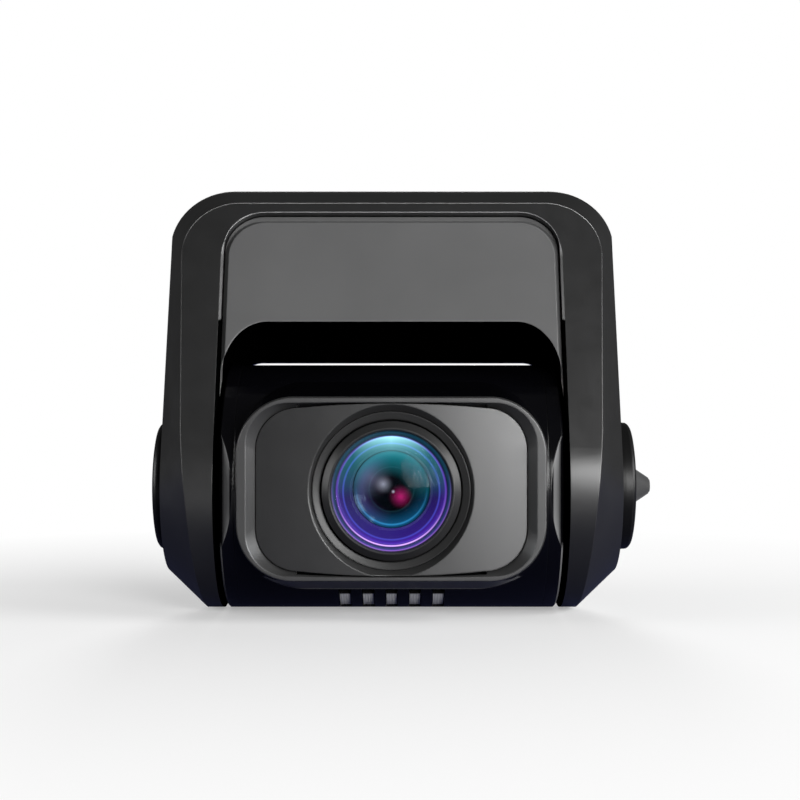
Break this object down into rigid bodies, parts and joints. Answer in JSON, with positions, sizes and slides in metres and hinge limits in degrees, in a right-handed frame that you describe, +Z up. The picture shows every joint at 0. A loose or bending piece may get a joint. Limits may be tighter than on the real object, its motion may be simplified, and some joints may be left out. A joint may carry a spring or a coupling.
{
  "type": "dash camera",
  "caption": "Windscreen dash camera: wedge bracket with an adhesive pad and a tilting lens head between its arms.",
  "frame": {"origin": "the middle of the adhesive pad's outer face, at mid-width (the mount adhesive_face)", "axes": "+X across the bracket, to the right seen from the lens side; -Y the way the lens looks; +Z up"},
  "size_m": [0.0629, 0.0414, 0.0534],
  "materials": {
    "bracket_plastic": "black, satin to gloss",
    "plate_plastic": "dark grey satin",
    "foam_tape": "black closed-cell foam tape, pale release side",
    "black_steel": "black oxide",
    "bush_plastic": "natural acetal",
    "washer_rubber": "matt",
    "spring_steel": "plain",
    "plated_steel": "zinc plated",
    "head_plastic": "black gloss",
    "bezel_plastic": "black satin",
    "panel_plastic": "dark grey satin",
    "trim_plastic": "dark grey satin",
    "lens_black": "black anodised",
    "coated_glass": "coated, violet to green sheen",
    "filter_glass": "pale blue-green",
    "holder_plastic": "black",
    "sensor_ceramic": "dark package",
    "circuit_board": "green solder mask",
    "connector_plastic": "natural nylon",
    "chip_epoxy": "black moulding compound",
    "component_ceramic": "tan",
    "capacitor_can": "sleeved can",
    "socket_steel": "tinned",
    "card_plastic": "black",
    "speaker_plastic": "black",
    "mesh_metal": "fine grey mesh",
    "lead_jacket": "black",
    "boot_rubber": "black"
  },
  "bodies": {
    "bracket": {"bracket_front_shell": "bracket_plastic", "bracket_rear_cover": "bracket_plastic", "face_plate": "plate_plastic", "adhesive_pad": "foam_tape", "rear_cover_screws": "black_steel", "pivot_cap_right": "bracket_plastic", "pivot_cap_left": "bracket_plastic", "pivot_bush_right": "bush_plastic", "pivot_bush_left": "bush_plastic"},
    "camera_head": {"aperture_stop": "lens_black", "board_connector": "connector_plastic", "board_screws": "plated_steel", "buffer_capacitor": "capacitor_can", "cable_boot": "boot_rubber", "card_socket": "socket_steel", "disc_spring": "spring_steel", "end_cap_left": "head_plastic", "end_cap_right": "head_plastic", "end_cap_screws": "black_steel", "face_panel": "panel_plastic", "friction_washer_left": "washer_rubber", "friction_washer_right": "washer_rubber", "head_front_shell": "head_plastic", "head_rear_shell": "head_plastic", "head_screws": "plated_steel", "image_sensor": "sensor_ceramic", "ir_filter": "filter_glass", "lead": "lead_jacket", "lead_connector": "connector_plastic", "lens_barrel": "lens_black", "lens_element_rear": "coated_glass", "lens_element_second": "coated_glass", "lens_element_third": "coated_glass", "lens_front_element": "coated_glass", "lens_front_ring": "lens_black", "lens_holder": "holder_plastic", "lens_holder_screws": "plated_steel", "lens_lock_ring": "lens_black", "lens_trim_ring": "trim_plastic", "main_board": "circuit_board", "memory_chip": "chip_epoxy", "microphone": "socket_steel", "pivot_screw": "plated_steel", "processor_chip": "chip_epoxy", "retaining_clip": "spring_steel", "retaining_washer": "plated_steel", "sensor_board": "circuit_board", "small_components": "component_ceramic", "snout_bezel": "bezel_plastic", "speaker": "speaker_plastic", "vent_mesh": "mesh_metal"},
    "memory_card": {"memory_card": "card_plastic"}
  },
  "joints": [
    {"name": "head_tilt", "type": "hinge", "parent": "bracket", "child": "camera_head", "pos_m": [0, -0.01125, -0.02786], "axis": [1, 0, 0], "range_deg": [-30, 190]},
    {"name": "card_slide", "type": "slide", "parent": "camera_head", "child": "memory_card", "axis": [0, 0, -1], "range_m": [0, 0.016]}
  ]
}
